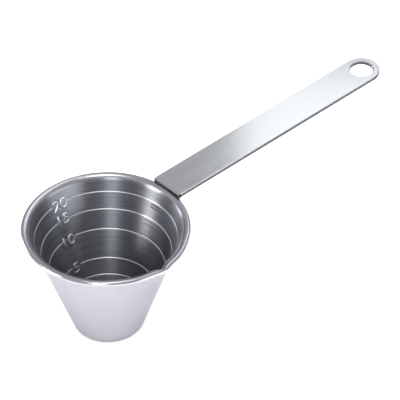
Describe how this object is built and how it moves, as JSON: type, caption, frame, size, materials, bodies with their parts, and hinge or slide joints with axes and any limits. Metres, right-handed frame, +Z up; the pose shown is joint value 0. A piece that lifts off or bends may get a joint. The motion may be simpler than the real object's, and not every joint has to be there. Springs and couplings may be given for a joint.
{
  "type": "bar jigger",
  "caption": "Conical steel measuring cup with a rolled rim, a pinched pouring lip, fill rings inside and a long flat strip handle with a hanging hole.",
  "frame": {"origin": "centre of the cup's base, on the surface that it stands on", "axes": "+Z up along the cup's axis, +X along the handle, -Y to the pouring lip"},
  "size_m": [0.1254, 0.0474, 0.0351],
  "materials": {
    "cup_steel": "satin, turned round the axis inside",
    "handle_steel": "fine satin with bright rounded edges",
    "weld_steel": "cleaned weld"
  },
  "bodies": {
    "root": {"cup": "cup_steel", "handle": "handle_steel", "weld_seam": "weld_steel"}
  },
  "joints": []
}
